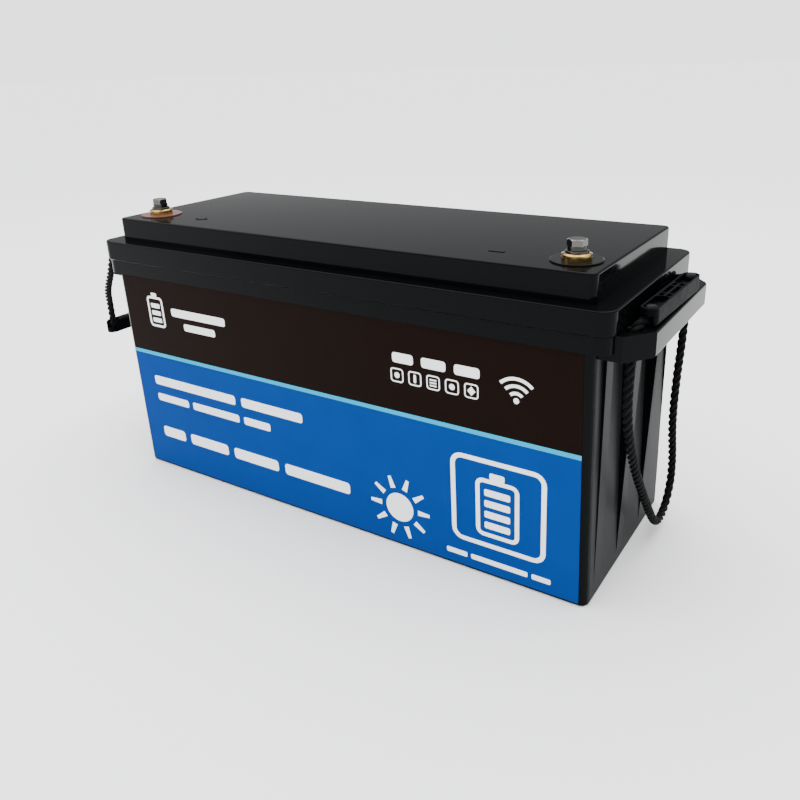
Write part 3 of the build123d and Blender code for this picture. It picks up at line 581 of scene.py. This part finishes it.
def make_label_print():
    """Blue lower field, light stripe, and plain white marks where the label has its print."""
    foot = label_low.z + FIELD_INSET
    stripe_bottom = STRIPE_TOP - STRIPE_HEIGHT
    blue = label_field("label_lower_field", foot, stripe_bottom + UNDER_STRIPE, BLUE_PROUD)
    stripe = label_field("label_stripe", stripe_bottom, STRIPE_TOP, STRIPE_PROUD)
    bm = bmesh.new()
    upper_marks(bm)
    lower_marks(bm)
    marks = mesh_object("label_marks", bm)
    for piece in (blue, stripe, marks):
        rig.slot(piece, "label_film")
        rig.ride(piece, "case")
    return blue, stripe, marks


# ---------------------------------------------------------------- materials
# the part of a noise's range that carries most of its values
NOISE_SPAN = (0.3, 0.7)
SHELF_BOTTOM = 176.8 * MM
SATIN_TOP = SHELF_BOTTOM - 0.1 * MM
# how squarely a face looks along the case before it counts as an end wall
END_FACING = 0.9
GLOSS_BLACK = (0.0018, 0.0023, 0.0025)
SATIN_BLACK = (0.0085, 0.0096, 0.0102)
GLOSS_ROUGHNESS = 0.09
SATIN_ROUGHNESS = 0.44


def material(name, colour, roughness, metallic=0.0, specular=0.5, **sockets):
    """A principled material with these base values, and any others by the names of their sockets."""
    made = bpy.data.materials.new(name)
    made.use_nodes = True
    shader = made.node_tree.nodes["Principled BSDF"]
    shader.inputs["Base Color"].default_value = (*colour, 1.0)
    shader.inputs["Roughness"].default_value = roughness
    shader.inputs["Metallic"].default_value = metallic
    shader.inputs["Specular IOR Level"].default_value = specular
    for socket, value in sockets.items():
        shader.inputs[socket.replace("_", " ")].default_value = value
    return made


def node(tree, kind, **settings):
    """A new node with its settings."""
    made = tree.nodes.new(kind)
    for key, value in settings.items():
        setattr(made, key, value)
    return made


def map_range(tree, factor, from_limits, to_limits):
    """A factor carried from one span of values to another, as a socket."""
    spread = node(tree, "ShaderNodeMapRange")
    spread.inputs["From Min"].default_value, spread.inputs["From Max"].default_value = from_limits
    spread.inputs["To Min"].default_value, spread.inputs["To Max"].default_value = to_limits
    tree.links.new(factor, spread.inputs["Value"])
    return spread.outputs["Result"]


def arithmetic(tree, operation, first, second=None):
    """One sum on a socket, with a number or another socket as its second term."""
    made = node(tree, "ShaderNodeMath", operation=operation)
    tree.links.new(first, made.inputs[0])
    if isinstance(second, float):
        made.inputs[1].default_value = second
    elif second is not None:
        tree.links.new(second, made.inputs[1])
    return made.outputs["Value"]


def axis_of(tree, vector, axis):
    """One component of a vector socket."""
    split = node(tree, "ShaderNodeSeparateXYZ")
    tree.links.new(vector, split.inputs["Vector"])
    return split.outputs[axis]


def scaled(colour, factor):
    """A colour made darker or lighter, each part kept within 1."""
    return tuple(min(1.0, part * factor) for part in colour)


def object_noise(tree, scale, detail=3.0, stretch=(1, 1, 1)):
    """Noise in the object's own space, as a factor socket."""
    coords = node(tree, "ShaderNodeTexCoord")
    mapping = node(tree, "ShaderNodeMapping")
    mapping.inputs["Scale"].default_value = stretch
    noise = node(tree, "ShaderNodeTexNoise")
    noise.inputs["Scale"].default_value = scale
    noise.inputs["Detail"].default_value = detail
    tree.links.new(coords.outputs["Object"], mapping.inputs["Vector"])
    tree.links.new(mapping.outputs["Vector"], noise.inputs["Vector"])
    return noise.outputs["Fac"]


def vary(made, socket, factor, low, high):
    """Drives one of the shader's values between two limits by a factor."""
    tree = made.node_tree
    value = map_range(tree, factor, NOISE_SPAN, (low, high))
    tree.links.new(value, tree.nodes["Principled BSDF"].inputs[socket])


def tint(made, factor, low, high):
    """Varies the base colour between two colours by a factor."""
    tree = made.node_tree
    ramp = node(tree, "ShaderNodeValToRGB")
    ramp.color_ramp.elements[0].position, ramp.color_ramp.elements[1].position = NOISE_SPAN
    ramp.color_ramp.elements[0].color = (*low, 1.0)
    ramp.color_ramp.elements[1].color = (*high, 1.0)
    tree.links.new(factor, ramp.inputs["Fac"])
    tree.links.new(ramp.outputs["Color"], tree.nodes["Principled BSDF"].inputs["Base Color"])


def bump(made, *layers):
    """Chains bump layers, each a factor, a depth in metres and a strength."""
    tree = made.node_tree
    last = None
    for factor, depth, strength in layers:
        layer = node(tree, "ShaderNodeBump")
        layer.inputs["Distance"].default_value = depth
        layer.inputs["Strength"].default_value = strength
        tree.links.new(factor, layer.inputs["Height"])
        if last is not None:
            tree.links.new(last, layer.inputs["Normal"])
        last = layer.outputs["Normal"]
    tree.links.new(last, tree.nodes["Principled BSDF"].inputs["Normal"])


def case_plastic():
    """Glossy moulding, with speckled satin end walls below the shelves."""
    made = material("case_plastic", GLOSS_BLACK, GLOSS_ROUGHNESS, specular=0.042)
    tree = made.node_tree
    shader = tree.nodes["Principled BSDF"]
    coords = node(tree, "ShaderNodeTexCoord")
    height = axis_of(tree, coords.outputs["Object"], "Z")
    outward = arithmetic(tree, "ABSOLUTE", axis_of(tree, coords.outputs["Normal"], "X"))
    endwise = arithmetic(tree, "GREATER_THAN", outward, END_FACING)
    under_shelf = arithmetic(tree, "LESS_THAN", height, SATIN_TOP)
    satin = arithmetic(tree, "MULTIPLY", endwise, under_shelf)
    mottle = map_range(tree, object_noise(tree, 420.0, 4.0), (0.35, 0.75), (0.75, 1.25))
    speckle = arithmetic(tree, "MULTIPLY", satin, mottle)
    blacks = node(tree, "ShaderNodeValToRGB")
    blacks.color_ramp.elements[0].color = (*GLOSS_BLACK, 1.0)
    blacks.color_ramp.elements[1].color = (*SATIN_BLACK, 1.0)
    tree.links.new(speckle, blacks.inputs["Fac"])
    tree.links.new(blacks.outputs["Color"], shader.inputs["Base Color"])
    roughness = map_range(tree, satin, (0.0, 1.0), (GLOSS_ROUGHNESS, SATIN_ROUGHNESS))
    tree.links.new(roughness, shader.inputs["Roughness"])
    bump(made, (object_noise(tree, 7.0, 1.0), 0.0006, 0.10))
    return made


def label_film(name, colour):
    """Matt printed film with a barely uneven ink."""
    made = material(name, colour, 0.5, specular=0.025)
    tree = made.node_tree
    tint(made, object_noise(tree, 40.0), scaled(colour, 0.97), scaled(colour, 1.03))
    bump(made, (object_noise(tree, 1500.0, 1.0), 0.000008, 0.2))
    return made


def brass():
    """Turned brass, with fine marks that run round it."""
    dull, bright = (0.25, 0.155, 0.040), (0.35, 0.235, 0.075)
    smooth, rough = 0.13, 0.20
    made = material("insert_brass", dull, smooth, metallic=1.0)
    tree = made.node_tree
    tint(made, object_noise(tree, 60.0, 2.0, (1, 1, 14)), dull, bright)
    vary(made, "Roughness", object_noise(tree, 90.0, 2.0), smooth, rough)
    bump(made, (object_noise(tree, 40.0, 2.0, (1, 1, 60)), 0.00004, 0.35))
    return made


def plated_steel(name, colour, low, high):
    """Plated metal with an uneven polish between two roughnesses."""
    made = material(name, colour, low, metallic=1.0)
    tree = made.node_tree
    vary(made, "Roughness", object_noise(tree, 420.0), low, high)
    tint(made, object_noise(tree, 180.0), scaled(colour, 0.92), colour)
    bump(made, (object_noise(tree, 1800.0, 2.0), 0.00001, 0.3))
    return made


def moulded(name, colour, low=0.35, high=0.5, grain=0.00004, specular=0.4):
    """Plastic or rubber between two roughnesses, with a fine grain of this depth in metres."""
    made = material(name, colour, low, specular=specular)
    tree = made.node_tree
    tint(made, object_noise(tree, 90.0), scaled(colour, 0.85), scaled(colour, 1.15))
    vary(made, "Roughness", object_noise(tree, 150.0), low, high)
    bump(made, (object_noise(tree, 1400.0, 2.0), grain, 0.4))
    return made


def rope_fibre():
    """Yarns that run round each strand, with a faint sheen."""
    dark, light = (0.0008, 0.0008, 0.0011), (0.0034, 0.0035, 0.0042)
    made = material("rope_fibre", light, 0.5, specular=0.07, Sheen_Weight=0.02)
    tree = made.node_tree
    coords = node(tree, "ShaderNodeUVMap", uv_map="lay")
    mapping = node(tree, "ShaderNodeMapping")
    mapping.inputs["Scale"].default_value = (1.0, 5.0, 1.0)
    mapping.inputs["Rotation"].default_value = (0.0, 0.0, 0.5)
    yarns = node(tree, "ShaderNodeTexWave", bands_direction="Y")
    yarns.inputs["Scale"].default_value = 1.2
    yarns.inputs["Distortion"].default_value = 1.5
    tree.links.new(coords.outputs["UV"], mapping.inputs["Vector"])
    tree.links.new(mapping.outputs["Vector"], yarns.inputs["Vector"])
    tint(made, object_noise(tree, 700.0, 4.0), dark, light)
    bump(
        made,
        (yarns.outputs["Fac"], 0.0002, 0.7),
        (object_noise(tree, 2600.0, 3.0), 0.00008, 0.6),
    )
    return made


def foam():
    """Dark open foam."""
    dark, light = (0.035, 0.035, 0.04), (0.08, 0.08, 0.085)
    made = material("foam_pad", dark, 0.9, specular=0.2)
    tree = made.node_tree
    tint(made, object_noise(tree, 600.0), dark, light)
    bump(made, (object_noise(tree, 900.0, 2.0), 0.0003, 0.6))
    return made


def paint_pieces(prints, ropes):
    """Gives every CAD node and added piece the material of its slot."""
    finishes = {
        "case_plastic": case_plastic(),
        "label_film": label_film("label_dark", (0.0062, 0.0026, 0.0016)),
        "ring_red": moulded("ring_red", (0.10, 0.034, 0.030), 0.14, 0.2, grain=0.00001, specular=0.2),
        "ring_black": moulded("ring_black", (0.0050, 0.0055, 0.0050), 0.10, 0.14,
                              grain=0.00001, specular=0.045),
        "insert_brass": brass(),
        "bolt_steel": plated_steel("bolt_steel", (0.092, 0.092, 0.084), 0.05, 0.10),
        "washer_steel": plated_steel("washer_steel", (0.036, 0.035, 0.031), 0.08, 0.15),
        "rope_fibre": rope_fibre(),
        "rope_end": moulded("rope_end", (0.0022, 0.0022, 0.0028), 0.28, 0.4, grain=0.00004, specular=0.06),
        "grip_plastic": moulded("grip_plastic", (0.0016, 0.0019, 0.0030), 0.46, 0.56,
                                grain=0.00002, specular=0.02),
        "seal_rubber": moulded("seal_rubber", (0.02, 0.02, 0.02), 0.6, 0.75),
        "cell_can": moulded("cell_can", (0.02, 0.12, 0.42), 0.32, 0.42),
        "spacer_board": moulded("spacer_board", (0.62, 0.58, 0.42), 0.5, 0.65),
        "plate_aluminium": plated_steel("plate_aluminium", (0.80, 0.81, 0.82), 0.30, 0.42),
        "strap_steel": plated_steel("strap_steel", (0.60, 0.61, 0.63), 0.25, 0.38),
        "busbar": plated_steel("busbar", (0.84, 0.84, 0.85), 0.28, 0.40),
        "copper": plated_steel("copper", (0.78, 0.42, 0.26), 0.22, 0.36),
        "board_green": moulded("board_green", (0.012, 0.11, 0.045), 0.25, 0.35),
        "component_black": moulded("component_black", (0.02, 0.02, 0.022), 0.4, 0.55),
        "lead_black": moulded("lead_black", (0.018, 0.018, 0.018), 0.5, 0.65),
        "harness_sleeve": moulded("harness_sleeve", (0.03, 0.03, 0.03), 0.7, 0.85, grain=0.0002),
        "harness_wire": moulded("harness_wire", (0.45, 0.03, 0.025), 0.45, 0.6),
        "foam_pad": foam(),
        "clear_sheet": moulded("clear_sheet", (0.70, 0.70, 0.66), 0.35, 0.5),
    }
    for part in frame["record"]["subparts"]:
        obj = frame["nodes"][part["node"]]
        for place in obj.material_slots:
            place.material = finishes[part["material_slot"]]
    blue, stripe, marks = prints
    coats = (
        (blue, label_film("label_blue", (0.0, 0.037, 0.205))),
        (stripe, label_film("label_cyan", (0.0, 0.33, 0.56))),
        (marks, label_film("label_white", (0.93, 0.94, 0.95))),
        *((piece, finishes["rope_fibre"]) for piece in ropes),
    )
    for piece, coat in coats:
        piece.data.materials.append(coat)


# ---------------------------------------------------------------- studio
DOME_STRENGTH = 3.8
DOME_COLOUR = (0.98, 0.99, 1.0)
# how high in the sky, from 0 at the horizon to 1 overhead, and how bright it is there
SKY_LEVELS = ((0.085, 0.62), (0.14, 0.13), (0.38, 0.13), (0.75, 1.0))
FLOOR_HALF = 30.0


def area_light(name, place, target, size, power):
    """A white rectangular light that faces its target."""
    data = bpy.data.lights.new(name, "AREA")
    data.shape = "RECTANGLE"
    data.size, data.size_y = size
    data.energy = power
    lamp = link(bpy.data.objects.new(name, data))
    aim = (Vector(target) - Vector(place)).to_track_quat("-Z", "Y")
    lamp.matrix_world = Matrix.Translation(place) @ aim.to_matrix().to_4x4()


def grey(level):
    return (level, level, level, 1.0)


def overhead_world():
    """Soft light from above, dimmer towards the horizon, with a pale rim where the floor ends."""
    world = bpy.data.worlds.new("studio")
    world.use_nodes = True
    tree = world.node_tree
    background = tree.nodes["Background"]
    background.inputs["Color"].default_value = (*DOME_COLOUR, 1.0)
    coords = node(tree, "ShaderNodeTexCoord")
    ramp = node(tree, "ShaderNodeValToRGB")
    tree.links.new(axis_of(tree, coords.outputs["Generated"], "Z"), ramp.inputs["Fac"])
    stops = ramp.color_ramp.elements
    lowest, *others = SKY_LEVELS
    stops.remove(stops[-1])
    stops[0].position, stops[0].color = lowest[0], grey(lowest[1])
    for height, level in others:
        stops.new(height).color = grey(level)
    power = arithmetic(tree, "MULTIPLY", ramp.outputs["Color"], DOME_STRENGTH)
    tree.links.new(power, background.inputs["Strength"])
    return world


def make_studio():
    """A pale floor under the graded sky, with two softboxes."""
    bm = bmesh.new()
    bmesh.ops.create_grid(bm, x_segments=1, y_segments=1, size=FLOOR_HALF)
    floor = mesh_object("floor", bm)
    floor.data.materials.append(material("floor", (0.92, 0.92, 0.92), 0.8, specular=0.1))
    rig.stage(floor)
    scene.world = overhead_world()
    area_light("top_softbox", place=(-0.2, 0.3, 1.6), target=(0, 0, 0.1), size=(1.8, 1.2), power=16.0)
    area_light("left_softbox", place=(-1.5, -0.9, 0.9), target=(0, 0, 0.15), size=(0.8, 1.2), power=5.0)


# ---------------------------------------------------------------- making
make_camera()
ropes = make_ropes()
prints = make_label_print()
paint_pieces(prints, ropes)
make_studio()

with open("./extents.json", "w") as sizes:
    json.dump({"cad": [list(cad_low), list(cad_high)], "visual": [list(c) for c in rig.bounds()]}, sizes)
